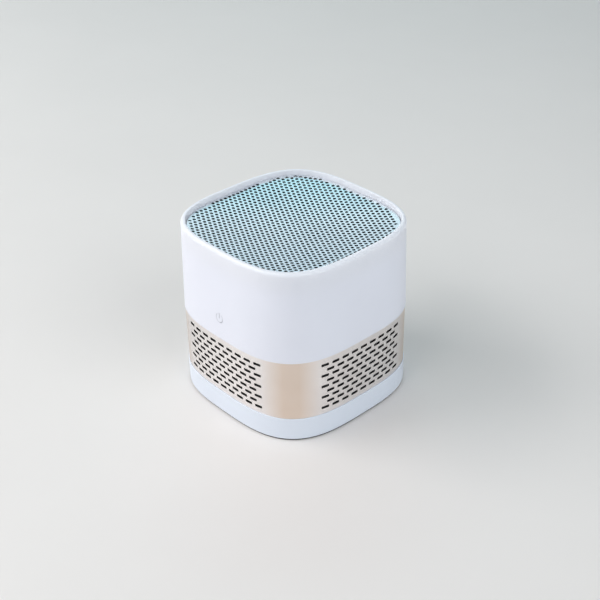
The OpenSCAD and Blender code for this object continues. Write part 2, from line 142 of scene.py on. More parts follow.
def round_profile(pts, closed=True):
    """pts: (a, z, radius, segments). Returns points and the normals on each side of each point.
    The material lies to the left of the direction of travel, so normals point right."""
    n = len(pts)
    out = []
    for i, (a, z, r, k) in enumerate(pts):
        p = np.array([a, z], float)
        if r <= 0 or (not closed and i in (0, n - 1)):
            out.append((p, None))
            continue
        q0 = np.array(pts[i - 1][:2], float)
        q1 = np.array(pts[(i + 1) % n][:2], float)
        d0 = (q0 - p) / np.linalg.norm(q0 - p)
        d1 = (q1 - p) / np.linalg.norm(q1 - p)
        half = math.acos(max(-1, min(1, float(d0 @ d1)))) / 2
        t = r / math.tan(half)
        s0, s1 = p + d0 * t, p + d1 * t
        bis = (d0 + d1) / np.linalg.norm(d0 + d1)
        c = p + bis * (r / math.sin(half))
        a0 = math.atan2(*(s0 - c)[::-1])
        a1 = math.atan2(*(s1 - c)[::-1])
        da = (a1 - a0 + math.pi) % (2 * math.pi) - math.pi
        for j in range(k + 1):
            w = a0 + da * j / k
            q = c + r * np.array([math.cos(w), math.sin(w)])
            turn = 1.0 if da > 0 else -1.0
            out.append((q, turn * (q - c) / r))
    return out


def sweep(name, pts, count=288, closed=True, seam=0.0):
    """Closed profile in (a, z), swept round the outline. Travel is anticlockwise in (a, z)
    with the material on the left, so the outer side is travelled upwards."""
    prof = round_profile(pts, closed)
    m = len(prof)
    P = np.array([q for q, _ in prof])
    nb, na = [], []
    for j in range(m):
        q, nrm = prof[j]
        d_in = P[j] - P[j - 1]
        d_out = P[(j + 1) % m] - P[j]
        rin = np.array([d_in[1], -d_in[0]]) / max(1e-9, np.linalg.norm(d_in))
        rout = np.array([d_out[1], -d_out[0]]) / max(1e-9, np.linalg.norm(d_out))
        if nrm is not None:
            rin = rout = nrm
        nb.append(rin)
        na.append(rout)
    ref = Outline(float(P[:, 0].max()))
    s = ref.length * (np.arange(count) + seam) / count
    base, nn = ref.at(s)
    amax = float(P[:, 0].max())
    verts = []
    for i in range(count):
        for j in range(m):
            d = amax - P[j, 0]
            verts.append((base[i, 0] - d * nn[i, 0], base[i, 1] - d * nn[i, 1], P[j, 1]))
    faces, norms = [], []
    top = m if closed else m - 1
    for i in range(count):
        i2 = (i + 1) % count
        for j in range(top):
            j2 = (j + 1) % m
            faces.append((i * m + j, i2 * m + j, i2 * m + j2, i * m + j2))
            for (ii, nv) in ((i, na[j]), (i2, na[j]), (i2, nb[j2]), (i, nb[j2])):
                norms.append((nn[ii, 0] * nv[0], nn[ii, 1] * nv[0], nv[1]))
    return make_mesh(name, verts, faces, norms)


# --------------------------------------------------------------------------
# Materials
# --------------------------------------------------------------------------
class Mat:
    """A Principled material with helpers for procedural detail in object space, in millimetres."""

    def __init__(self, name, color, rough, metal=0.0, **inputs):
        self.m = bpy.data.materials.new(name)
        self.m.use_nodes = True
        self.t = self.m.node_tree
        self.b = self.t.nodes["Principled BSDF"]
        self.b.inputs["Base Color"].default_value = (*color, 1)
        self.b.inputs["Roughness"].default_value = rough
        self.b.inputs["Metallic"].default_value = metal
        for k, v in inputs.items():
            self.b.inputs[k.replace("_", " ")].default_value = v
        self.color = color
        tc = self.node("ShaderNodeTexCoord")
        sc = self.node("ShaderNodeVectorMath")
        sc.operation = "SCALE"
        sc.inputs["Scale"].default_value = 1000.0
        self.link(tc.outputs["Object"], sc.inputs[0])
        self.pos = sc.outputs[0]

    def node(self, kind, **props):
        n = self.t.nodes.new(kind)
        for k, v in props.items():
            setattr(n, k, v)
        return n

    def link(self, a, b):
        self.t.links.new(a, b)

    def noise(self, per_mm, detail=3.0, rough=0.55, stretch=None):
        src = self.pos
        if stretch:
            mp = self.node("ShaderNodeMapping")
            mp.inputs["Scale"].default_value = stretch
            self.link(src, mp.inputs["Vector"])
            src = mp.outputs[0]
        n = self.node("ShaderNodeTexNoise")
        n.inputs["Scale"].default_value = per_mm
        n.inputs["Detail"].default_value = detail
        n.inputs["Roughness"].default_value = rough
        self.link(src, n.inputs["Vector"])
        return n.outputs["Fac"]

    def voronoi(self, per_mm, feature="F1", out="Distance"):
        n = self.node("ShaderNodeTexVoronoi")
        n.feature = feature
        n.inputs["Scale"].default_value = per_mm
        self.link(self.pos, n.inputs["Vector"])
        return n.outputs[out]

    def ramp(self, fac, stops):
        r = self.node("ShaderNodeValToRGB")
        els = r.color_ramp.elements
        while len(els) < len(stops):
            els.new(0.5)
        for e, (p, c) in zip(els, stops):
            e.position = p
            e.color = (*c, 1) if len(c) == 3 else c
        self.link(fac, r.inputs["Fac"])
        return r.outputs["Color"]

    def maprange(self, fac, a, b, c, d):
        n = self.node("ShaderNodeMapRange")
        n.inputs["From Min"].default_value = a
        n.inputs["From Max"].default_value = b
        n.inputs["To Min"].default_value = c
        n.inputs["To Max"].default_value = d
        self.link(fac, n.inputs["Value"])
        return n.outputs["Result"]

    def mix(self, fac, a, b, blend="MIX"):
        n = self.node("ShaderNodeMix", data_type="RGBA", blend_type=blend)
        if isinstance(fac, (int, float)):
            n.inputs["Factor"].default_value = fac
        else:
            self.link(fac, n.inputs["Factor"])
        for sock, v in ((n.inputs["A"], a), (n.inputs["B"], b)):
            pass
        ia = [s for s in n.inputs if s.name == "A" and s.type == "RGBA"][0]
        ib = [s for s in n.inputs if s.name == "B" and s.type == "RGBA"][0]
        for sock, v in ((ia, a), (ib, b)):
            if isinstance(v, tuple):
                sock.default_value = (*v[:3], 1)
            else:
                self.link(v, sock)
        return [s for s in n.outputs if s.type == "RGBA"][0]

    def math(self, op, a, b=None):
        n = self.node("ShaderNodeMath", operation=op)
        for sock, v in ((n.inputs[0], a), (n.inputs[1], b)):
            if v is None:
                continue
            if isinstance(v, (int, float)):
                sock.default_value = v
            else:
                self.link(v, sock)
        return n.outputs[0]

    def xyz(self):
        n = self.node("ShaderNodeSeparateXYZ")
        self.link(self.pos, n.inputs[0])
        return n.outputs

    def bump(self, height, dist_mm, strength=1.0, normal=None):
        n = self.node("ShaderNodeBump")
        n.inputs["Distance"].default_value = dist_mm * MM
        n.inputs["Strength"].default_value = strength
        self.link(height, n.inputs["Height"])
        if normal is not None:
            self.link(normal, n.inputs["Normal"])
        return n.outputs["Normal"]

    def set(self, **outs):
        for k, v in outs.items():
            self.link(v, self.b.inputs[k.replace("_", " ")])
        return self.m

    def vary(self, per_mm, amount):
        """Base colour a little lighter and darker over the surface."""
        f = self.noise(per_mm)
        lo = tuple(c * (1 - amount) for c in self.color)
        hi = tuple(min(1, c * (1 + amount)) for c in self.color)
        return self.ramp(f, [(0.3, lo), (0.7, hi)])


def srgb(r, g, b):
    def f(c):
        c /= 255
        return c / 12.92 if c <= 0.04045 else ((c + 0.055) / 1.055) ** 2.4
    return (f(r), f(g), f(b))


def mat_shell(name, color, rough, thin_z=None):
    """Fine-textured moulded plastic with a soft clear sheen; light comes through it above thin_z, where the wall is a thin rim."""
    m = Mat(name, color, rough, Coat_Weight=0.12, Coat_Roughness=0.28, IOR=1.49,
            Subsurface_Radius=(1.0, 1.0, 1.0), Subsurface_Scale=0.004)
    col = m.vary(0.035, 0.012)
    fine = m.noise(7.0, 2.0, 0.6)
    soft = m.noise(0.09, 3.0)
    rg = m.maprange(soft, 0.3, 0.7, rough - 0.03, rough + 0.035)
    b1 = m.bump(fine, 0.006, 0.5)
    m.set(Base_Color=col, Roughness=rg, Normal=b1)
    if thin_z:
        m.set(Subsurface_Weight=m.maprange(m.xyz()[2], thin_z, thin_z + 9.0, 0.0, 0.7))
    return m.m


def mat_band():
    """Champagne anodised sheet, bead-blasted. Round the four corners the colour is painted warmer and darker: a painted
    reflection with painted shade, not a change in the sheet.
    """
    m = Mat("band_anodised", srgb(238, 230, 225), 0.34, 1.0)
    x, y, z = m.xyz()
    ax, ay = m.math("ABSOLUTE", x), m.math("ABSOLUTE", y)
    d = m.math("ABSOLUTE", m.math("SUBTRACT", ax, ay))
    # painted reflection and shade: within a few mm of each corner the base colour turns warmer and darker, the same at
    # all four corners
    corner_reflection_mask = m.maprange(d, 5.0, 18.0, 1.0, 0.0)
    cloud = m.noise(0.05, 2.0)
    flat = m.ramp(cloud, [(0.3, srgb(237, 232, 230)), (0.7, srgb(242, 238, 236))])
    painted_reflection_tint = m.ramp(cloud, [(0.3, srgb(227, 210, 195)), (0.7, srgb(232, 217, 204))])
    base = m.mix(corner_reflection_mask, flat, painted_reflection_tint)
    grain = m.noise(5.0, 3.0, 0.6)
    rg = m.maprange(grain, 0.25, 0.75, 0.29, 0.40)
    m.set(Base_Color=base, Roughness=rg, Normal=m.bump(grain, 0.008, 0.45))
    return m.m


def mat_grille():
    """Silver anodised sheet, satin, with faint flow marks."""
    m = Mat("grille_anodised", srgb(226, 232, 235), 0.26, 1.0)
    f = m.noise(0.06, 2.0)
    base = m.ramp(f, [(0.3, srgb(223, 230, 234)), (0.7, srgb(229, 235, 238))])
    grain = m.noise(6.0, 2.0, 0.5)
    rg = m.maprange(grain, 0.25, 0.75, 0.21, 0.31)
    m.set(Base_Color=base, Roughness=rg, Normal=m.bump(grain, 0.006, 0.4))
    return m.m


def mat_rubber(name, color, rough=0.75):
    m = Mat(name, color, rough, Specular_IOR_Level=0.35)
    f = m.noise(3.0, 4.0, 0.6)
    m.set(Base_Color=m.vary(0.4, 0.2), Roughness=m.maprange(f, 0.3, 0.7, rough - 0.08, rough + 0.08), Normal=m.bump(f, 0.02, 0.6))
    return m.m


def mat_plastic(name, color, rough, bump=0.012, scale=4.0):
    m = Mat(name, color, rough)
    f = m.noise(scale, 3.0, 0.6)
    m.set(Base_Color=m.vary(0.12, 0.06), Roughness=m.maprange(m.noise(0.3), 0.3, 0.7, rough - 0.05, rough + 0.06), Normal=m.bump(f, bump, 0.6))
    return m.m


def mat_metal(name, color, rough, stretch=(1, 1, 1), scale=3.0, bump=0.006):
    m = Mat(name, color, rough, 1.0)
    f = m.noise(scale, 3.0, 0.6, stretch=stretch)
    m.set(Base_Color=m.vary(0.5, 0.05), Roughness=m.maprange(f, 0.3, 0.7, max(0.05, rough - 0.08), rough + 0.1), Normal=m.bump(f, bump, 0.5))
    return m.m


def mat_mesh():
    """Woven black dust mesh."""
    m = Mat("dust_mesh_weave", (0.012, 0.012, 0.014), 0.8)
    x, y, z = m.xyz()
    ang = m.node("ShaderNodeMath", operation="ARCTAN2")
    m.link(y, ang.inputs[0])
    m.link(x, ang.inputs[1])
    u = m.math("SINE", m.math("MULTIPLY", ang.outputs[0], 400.0))
    v = m.math("SINE", m.math("MULTIPLY", z, 9.0))
    w = m.math("MULTIPLY", u, v)
    m.set(Base_Color=m.ramp(m.maprange(w, -1, 1, 0, 1), [(0.2, (0.004, 0.004, 0.005)), (0.9, (0.022, 0.022, 0.025))]), Normal=m.bump(w, 0.05, 0.6))
    return m.m


def mat_board(name, mask, trace, scale=0.55):
    """Circuit board: solder mask with a web of traces under it in another shade, and a faint bump along them."""
    m = Mat(name, mask, 0.32, Coat_Weight=0.4, Coat_Roughness=0.15)
    v = m.node("ShaderNodeTexVoronoi")
    v.feature = "DISTANCE_TO_EDGE"
    v.distance = "EUCLIDEAN"
    v.inputs["Scale"].default_value = scale
    m.link(m.pos, v.inputs["Vector"])
    line = m.ramp(v.outputs["Distance"], [(0.0, trace), (0.05, trace), (0.08, mask), (1.0, mask)])
    m.set(Base_Color=line, Normal=m.bump(v.outputs["Distance"], 0.02, 0.4))
    return m.m


def mat_ribbon(name, color):
    m = Mat(name, color, 0.8, Sheen_Weight=0.3)
    x, y, z = m.xyz()
    w = m.math("MULTIPLY", m.math("SINE", m.math("MULTIPLY", x, 16.0)), m.math("SINE", m.math("MULTIPLY", y, 16.0)))
    hi = tuple(min(1, c * 1.25) for c in color)
    lo = tuple(c * 0.7 for c in color)
    m.set(Base_Color=m.ramp(m.maprange(w, -1, 1, 0, 1), [(0.2, lo), (0.8, hi)]), Normal=m.bump(w, 0.04, 0.7))
    return m.m


MATS = {
    "shell": mat_shell("shell_white_plastic", srgb(234, 237, 247), 0.42, 74.0),
    "base": mat_shell("base_white_plastic", srgb(227, 235, 246), 0.42),
    "band": mat_band(),
    "grille": mat_grille(),
    "rubber": mat_rubber("foot_rubber_black", (0.012, 0.012, 0.014)),
    "mesh": mat_mesh(),
}


def give(node, mat):
    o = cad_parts[node]
    o.data.materials.clear()
    o.data.materials.append(mat)


INNER = {
    "structure": mat_plastic("structure_black_plastic", (0.018, 0.018, 0.02), 0.5),
    "seat": mat_plastic("seat_white_plastic", srgb(226, 230, 236), 0.45),
    "honeycomb": mat_plastic("honeycomb_carbon", (0.02, 0.022, 0.024), 0.85, 0.08, 2.5),
    "green": mat_board("board_green_mask", (0.01, 0.10, 0.045), (0.03, 0.19, 0.08)),
    "white_board": mat_board("board_white_mask", srgb(228, 231, 232), srgb(200, 205, 206)),
    "chip": mat_plastic("chip_epoxy", (0.015, 0.015, 0.017), 0.55, 0.01, 8.0),
    "can": mat_metal("capacitor_sleeve", (0.45, 0.47, 0.52), 0.3),
    "nylon": mat_plastic("header_nylon_natural", srgb(232, 226, 205), 0.5),
    "screw": mat_metal("screw_zinc", (0.55, 0.55, 0.57), 0.34),
    "bright": mat_metal("steel_polished", (0.72, 0.72, 0.74), 0.18),
    "copper": mat_metal("copper_winding", (0.62, 0.26, 0.10), 0.3, (1, 1, 12), 2.0, 0.03),
    "core": mat_metal("core_laminations", (0.30, 0.31, 0.33), 0.45, (0.2, 0.2, 14), 2.0, 0.03),
    "magnet": mat_plastic("magnet_ferrite", (0.05, 0.05, 0.055), 0.6),
    "tab": mat_ribbon("tab_woven_teal", srgb(72, 158, 168)),
    "lead_red": mat_rubber("lead_red", (0.35, 0.012, 0.01), 0.45),
    "lead_white": mat_rubber("lead_white", (0.6, 0.6, 0.6), 0.45),
    "lead_black": mat_rubber("lead_black", (0.012, 0.012, 0.012), 0.45),
}
led = Mat("led_lens_phosphor", srgb(240, 226, 150), 0.25, Coat_Weight=0.6)
led.set(Base_Color=led.vary(1.5, 0.1), Normal=led.bump(led.noise(2.0), 0.02, 0.3))
INNER["led"] = led.m
CARRY = {
    "base_screws": "screw", "main_pcb": "green", "pcb_screws": "screw", "pcb_chips": "chip", "capacitors": "can",
    "power_inductor": "chip", "wire_headers": "nylon", "usb_socket": "bright", "usb_tongue": "chip", "mesh_frame": "structure",
    "chassis": "structure", "shell_screws": "screw", "touch_pad": "copper", "touch_board": "green", "status_led": "led",
    "fan_frame": "structure", "fan_board": "green", "stator_core": "core", "stator_coils": "copper", "fan_bearings": "bright",
    "fan_rotor": "structure", "fan_magnet": "magnet", "fan_shaft": "bright", "cartridge_seat": "seat", "fan_screws": "screw",
    "uv_board": "white_board", "uv_leds": "led", "cartridge_frame": "structure", "honeycomb": "honeycomb", "pull_tab": "tab",
    "fan_lead": "lead_red", "lamp_lead": "lead_white", "touch_lead": "lead_black",
}
for n, k in CARRY.items():
    give(n, INNER[k])
give("dust_mesh", MATS["mesh"])
give("fan_pads", MATS["rubber"])
give("grille_frame", MATS["grille"])


def finish_piece(ob, body, mat, slot, *nodes):
    ob.data.materials.clear()
    ob.data.materials.append(mat)
    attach(ob, body)
    if nodes:
        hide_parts(*nodes)


# --------------------------------------------------------------------------
# Heights, taken from the frame
# --------------------------------------------------------------------------
def zr(node):
    lo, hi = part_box(node)
    return lo[2] / MM, hi[2] / MM


shell_lo, shell_hi = zr("upper_shell")
base_lo, base_hi = zr("base_shell")
foot_lo, foot_hi = zr("foot_ring")
band_lo, band_hi = zr("intake_band")         # 10.8, 43.5

# --------------------------------------------------------------------------
# Upper shell
# --------------------------------------------------------------------------
z0, z1 = shell_lo, shell_hi
upper = sweep("shell_upper", [
    (45.08, z0, 0.12, 4),
    (43.97, z1 - 0.02, 1.75, 14),
    (41.84, z1 - 0.02, 0.32, 5),
    (41.84, 80.4, 0.25, 3),
    (40.0, 80.4, 0.25, 3),
    (40.0, 78.4, 0.2, 2),
    (41.98, 78.4, 0.3, 3),
    (42.96, 43.7, 0.0, 1),
    (44.84, 43.7, 0.0, 1),
    (44.84, z0, 0.06, 2),
], 320)
finish_piece(upper, "housing", MATS["shell"], "shell_white", "upper_shell")

# --------------------------------------------------------------------------
# Base shell, with its supply inlet and screw counterbores
# --------------------------------------------------------------------------
def base_solid():
    """Bowl: outer wall with a rounded lower edge, open at the top, floor closed."""
    prof = round_profile([
        (44.84, base_hi, 0.0, 1),
        (44.84, 10.8, 0.0, 1),
        (43.0, 10.8, 0.0, 1),
        (43.0, 3.0, 0.8, 3),
        (20.0, 3.0, 0.0, 1),
        (20.0, base_lo, 0.0, 1),
        (43.9, base_lo, 0.0, 1),
        (A0, base_lo + 0.02, 0.5, 6),
        (A0, 2.4, 0.0, 1),
        (A0, 11.2, 0.0, 1),
        (A0, base_hi, 0.15, 3),
    ])
    P = np.array([q for q, _ in prof])
    cut = [j for j in range(len(P)) if abs(P[j, 0] - 20.0) < 1e-6]
    ref = Outline(A0)
    count = 288
    s = ref.length * np.arange(count) / count
    base, nn = ref.at(s)
    bm = bmesh.new()
    rings = []
    for i in range(count):
        row = []
        for j in range(len(P)):
            d = A0 - P[j, 0]
            row.append(bm.verts.new(((base[i, 0] - d * nn[i, 0]) * MM, (base[i, 1] - d * nn[i, 1]) * MM, P[j, 1] * MM)))
        rings.append(row)
    m = len(P)
    for i in range(count):
        i2 = (i + 1) % count
        for j in range(m):
            j2 = (j + 1) % m
            if j in cut and j2 in cut:
                continue
            bm.faces.new((rings[i][j], rings[i2][j], rings[i2][j2], rings[i][j2]))
    bm.faces.new([rings[i][cut[0]] for i in range(count)])
    bm.faces.new([rings[i][cut[1]] for i in reversed(range(count))])
    bmesh.ops.recalc_face_normals(bm, faces=bm.faces)
    me = bpy.data.meshes.new("base_lower")
    bm.to_mesh(me)
    bm.free()
    ob = bpy.data.objects.new("base_lower", me)
    bpy.context.scene.collection.objects.link(ob)
    return ob


def cutter_from(bm, name):
    bmesh.ops.recalc_face_normals(bm, faces=bm.faces)
    me = bpy.data.meshes.new(name)
    bm.to_mesh(me)
    bm.free()
    ob = bpy.data.objects.new(name, me)
    bpy.context.scene.collection.objects.link(ob)
    return ob


def prism(bm, loop0, loop1):
    v0 = [bm.verts.new([c * MM for c in p]) for p in loop0]
    v1 = [bm.verts.new([c * MM for c in p]) for p in loop1]
    n = len(v0)
    for i in range(n):
        bm.faces.new((v0[i], v0[(i + 1) % n], v1[(i + 1) % n], v1[i]))
    bm.faces.new(v0[::-1])
    bm.faces.new(v1)


def circle_at(x, y, z, r, n=40):
    return [(x + r * math.cos(2 * math.pi * i / n), y + r * math.sin(2 * math.pi * i / n), z) for i in range(n)]


def stadium(l, h, y, zc, grow=0.0, n=14):
    r = h / 2 + grow
    cx = (l - h) / 2
    pts = []
    for i in range(n + 1):
        w = -math.pi / 2 + math.pi * i / n
        pts.append((cx + r * math.cos(w), y, zc + r * math.sin(w)))
    for i in range(n + 1):
        w = math.pi / 2 + math.pi * i / n
        pts.append((-cx + r * math.cos(w), y, zc + r * math.sin(w)))
    return pts


base = base_solid()
sock_lo, sock_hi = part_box("usb_socket")
port_z = (sock_lo[2] + sock_hi[2]) / 2 / MM
bm = bmesh.new()
# inlet: a straight hole with a small chamfered mouth
prism(bm, stadium(9.5, 3.9, 38.0, port_z), stadium(9.5, 3.9, 48.0, port_z))
port = cutter_from(bm, "cut_port")
bm = bmesh.new()
prism(bm, stadium(9.5, 3.9, A0 - 0.35, port_z), stadium(9.5, 3.9, A0 + 0.4, port_z, 0.6))
mouth = cutter_from(bm, "cut_mouth")
cutters = [port, mouth]
for sx in (-30, 30):
    for sy in (-30, 30):
        bm = bmesh.new()
        prism(bm, circle_at(sx, sy, -1.0, 3.1), circle_at(sx, sy, 2.8, 3.1))
        cutters.append(cutter_from(bm, "cut_bore"))
        bm = bmesh.new()
        prism(bm, circle_at(sx, sy, base_lo - 0.3, 3.6), circle_at(sx, sy, base_lo + 0.28, 3.05))
        cutters.append(cutter_from(bm, "cut_edge"))
bpy.context.view_layer.update()
for c in cutters:
    md = base.modifiers.new("cut", "BOOLEAN")
    md.operation = "DIFFERENCE"
    md.solver = "MANIFOLD"
    md.object = c
dg = bpy.context.evaluated_depsgraph_get()
cut_mesh = bpy.data.meshes.new_from_object(base.evaluated_get(dg))
base.modifiers.clear()
base.data = cut_mesh
base.data.name = "base_lower"
for c in cutters:
    bpy.data.objects.remove(c)
sharp_by_angle(base, 28)
finish_piece(base, "housing", MATS["base"], "shell_white", "base_shell")

# --------------------------------------------------------------------------
# Foot ring
# --------------------------------------------------------------------------
foot_top = base_lo - 0.01
foot = sweep("foot_ring_rubber", [
    (44.58, 0.0, 0.12, 3),
    (44.58, foot_top, 0.0, 1),
    (42.58, foot_top, 0.0, 1),
    (42.58, foot_hi - 0.02, 0.1, 2),
    (41.22, foot_hi - 0.02, 0.1, 2),
    (41.22, foot_top, 0.0, 1),
    (40.42, foot_top, 0.0, 1),
    (40.42, 0.0, 0.2, 4),
], 240)
finish_piece(foot, "housing", MATS["rubber"], "foot_rubber", "foot_ring")

# --------------------------------------------------------------------------
# Intake band: one sheet wrapped round the body, with its slots punched through
# --------------------------------------------------------------------------
BAND_A, BAND_T = 44.78, 0.55
PITCH, ROW, ROW0 = 5.6, 2.83, 15.25
SL, SH, SR = 3.7, 1.2, 0.34


def rounded_rect(cx, cz, l, h, r, k=4):
    pts = []
    for (sx, sz, a0) in ((1, 1, 0), (-1, 1, 90), (-1, -1, 180), (1, -1, 270)):
        for i in range(k + 1):
            w = math.radians(a0 + 90 * i / k)
            pts.append((cx + sx * (l / 2 - r) + r * math.cos(w), cz + sz * (h / 2 - r) + r * math.sin(w)))
    return pts


def make_band():
    ol = Outline(BAND_A)
    quarter = ol.length / 4
    edge = 25.2
    zs = [band_lo, 12.0] + [ROW0 - ROW / 2 + ROW * k for k in range(10)] + [band_hi]
    slots = []
    for r in range(9):
        n = 9 if r % 2 == 0 else 8
        for i in range(n):
            slots.append(((i - (n - 1) / 2) * PITCH, ROW0 + ROW * r))
    # flat layout of one side, triangulated round its slots
    pts, segs, kinds = [], [], []
    border = []
    sgrid = [round(-edge + 1.4 * i, 6) for i in range(int(round(2 * edge / 1.4)) + 1)]
    for s in sgrid:
        border.append((s, zs[0]))
    for z in zs[1:]:
        border.append((edge, z))
    for s in sgrid[-2::-1]:
        border.append((s, zs[-1]))
    for z in zs[-2:0:-1]:
        border.append((-edge, z))
    nb = len(border)
    pts += border
    kinds += [("b", None)] * nb
    segs += [(i, (i + 1) % nb) for i in range(nb)]
    for z in zs[1:-1]:
        for s in sgrid[1:-1]:
            pts.append((s, z))
            kinds.append(("g", None))
    ch = 0.07
    for (cx, cz) in slots:
        outer = rounded_rect(cx, cz, SL + 2 * ch, SH + 2 * ch, SR + ch)
        inner = rounded_rect(cx, cz, SL, SH, SR)
        k0 = len(pts)
        for o, q in zip(outer, inner):
            pts.append(o)
            kinds.append(("h", q))
        n = len(outer)
        segs += [(k0 + i, k0 + (i + 1) % n) for i in range(n)]
    co, _, tris, ov, _, _ = geometry.delaunay_2d_cdt([Vector(p) for p in pts], segs, [], 0, 1e-7, True)
    assert len(co) == len(pts), (len(co), len(pts))
    remap = [v[0] for v in ov]

    def inside(x, z):
        for r in range(9):
            cz = ROW0 + ROW * r
            if abs(z - cz) < SH / 2 + ch - 1e-3:
                n = 9 if r % 2 == 0 else 8
                for i in range(n):
                    cx = (i - (n - 1) / 2) * PITCH
                    if abs(x - cx) < SL / 2 + ch - 1e-3:
                        return True
        return False

    keep = []
    for t in tris:
        c = [sum(co[v][k] for v in t) / 3 for k in (0, 1)]
        if not inside(*c):
            a, b, d = (co[v] for v in t)
            area = (b[0] - a[0]) * (d[1] - a[1]) - (b[1] - a[1]) * (d[0] - a[0])
            keep.append(tuple(remap[v] for v in (t if area > 0 else t[::-1])))
    verts, faces, norms = [], [], []

    def put(s, z, depth):
        p, n = ol.at(s)
        verts.append((float(p[0] - depth * n[0]), float(p[1] - depth * n[1]), z))
        return len(verts) - 1

    def nrm(s):
        _, n = ol.at(s)
        return (float(n[0]), float(n[1]), 0.0)

    for q in range(4):
        mid = q * quarter
        out_i = [put(mid + x, z, 0.0) for (x, z) in pts]
        in_i = []
        for (p, kd) in zip(pts, kinds):
            x, z = kd[1] if kd[0] == "h" else p
            in_i.append(put(mid + x, z, BAND_T))
        n_i = [nrm(mid + x) for (x, z) in pts]
        for t in keep:
            faces.append(tuple(out_i[v] for v in t))
            norms += [n_i[v] for v in t]
            faces.append(tuple(in_i[v] for v in t[::-1]))
            norms += [tuple(-c for c in n_i[v]) for v in t[::-1]]
        # slot edges: rounded lead-in, then a straight wall
        k0 = nb + (len(zs) - 2) * (len(sgrid) - 2)
        for si, (cx, cz) in enumerate(slots):
            ids = list(range(k0 + si * 20, k0 + si * 20 + 20))
            wall0 = [put(mid + kinds[v][1][0], kinds[v][1][1], ch) for v in ids]
            wn = []
            for v in ids:
                (ox, oz), (ix, iz) = pts[v], kinds[v][1]
                dx, dz = ix - ox, iz - oz
                L = math.hypot(dx, dz)
                _, n = ol.at(mid + ix)
                tx, ty = -n[1], n[0]
                wn.append((float(tx * dx / L), float(ty * dx / L), dz / L))
            m = 20
            for i in range(m):
                j = (i + 1) % m
                faces.append((out_i[ids[i]], wall0[i], wall0[j], out_i[ids[j]]))
                norms += [n_i[ids[i]], wn[i], wn[j], n_i[ids[j]]]
                faces.append((wall0[i], in_i[ids[i]], in_i[ids[j]], wall0[j]))
                norms += [wn[i], wn[i], wn[j], wn[j]]
        # plain corner between this side and the next
        s_a, s_b = mid + edge, mid + quarter - edge
        cols = 26
        col_o, col_i, cn = [], [], []
        # first and last columns reuse the border heights
        for c in range(cols + 1):
            s = s_a + (s_b - s_a) * c / cols
            col_o.append([put(s, z, 0.0) for z in zs])
            col_i.append([put(s, z, BAND_T) for z in zs])
            cn.append(nrm(s))
        for c in range(cols):
            for r in range(len(zs) - 1):
                faces.append((col_o[c][r], col_o[c + 1][r], col_o[c + 1][r + 1], col_o[c][r + 1]))
                norms += [cn[c], cn[c + 1], cn[c + 1], cn[c]]
                faces.append((col_i[c][r + 1], col_i[c + 1][r + 1], col_i[c + 1][r], col_i[c][r]))
                norms += [tuple(-k for k in v) for v in (cn[c], cn[c + 1], cn[c + 1], cn[c])]
            for (r, sg) in ((0, -1.0), (len(zs) - 1, 1.0)):
                quad = (col_o[c][r], col_i[c][r], col_i[c + 1][r], col_o[c + 1][r])
                faces.append(quad if sg < 0 else quad[::-1])
                norms += [(0, 0, sg)] * 4
        # top and bottom edges of the slotted side
        for i in range(nb):
            a, b = i, (i + 1) % nb
            (xa, za), (xb, zb) = border[a], border[b]
            if za == zb and za in (zs[0], zs[-1]):
                sg = -1.0 if za == zs[0] else 1.0
                quad = (out_i[a], in_i[a], in_i[b], out_i[b])
                faces.append(quad)
                norms += [(0, 0, sg)] * 4
    return verts, faces, norms


def weld(verts, faces, norms, tol=1e-4):
    """Merge equal points without touching loop normals."""
    key, new, idx = {}, [], []
    for v in verts:
        k = tuple(round(c / tol) for c in v)
        if k not in key:
            key[k] = len(new)
            new.append(v)
        idx.append(key[k])
    out_f, out_n, p = [], [], 0
    for f in faces:
        g = [idx[v] for v in f]
        ns = norms[p:p + len(f)]
        p += len(f)
        if len(set(g)) < 3:
            continue
        out_f.append(tuple(g))
        out_n += ns
    return new, out_f, out_n


bv, bf, bn = weld(*make_band())
band = make_mesh("band_slotted", bv, bf, bn)
finish_piece(band, "housing", MATS["band"], "band_gold", "intake_band")

# --------------------------------------------------------------------------
# Top grille: dished perforated sheet
# --------------------------------------------------------------------------
G_A, G_T, G_CH = 41.4, 0.6, 0.06
HP, HR = 2.48, 0.75
HOLE_EXP = 3.4                               # the hole field reaches further into the corners than EXP
grille_lo, grille_hi = zr("top_grille")


def dish(x, y):
    r2 = x * x + y * y
    return 79.8 + 0.001521 * r2 + 0.205e-6 * (x ** 4 + y ** 4 - 0.75 * r2 * r2)


def dish_n(x, y):
    r2 = x * x + y * y
    gx = 2 * 0.001521 * x + 0.205e-6 * (4 * x ** 3 - 3 * r2 * x)
    gy = 2 * 0.001521 * y + 0.205e-6 * (4 * y ** 3 - 3 * r2 * y)
    k = 1 / math.sqrt(gx * gx + gy * gy + 1)
    return (-gx * k, -gy * k, k)


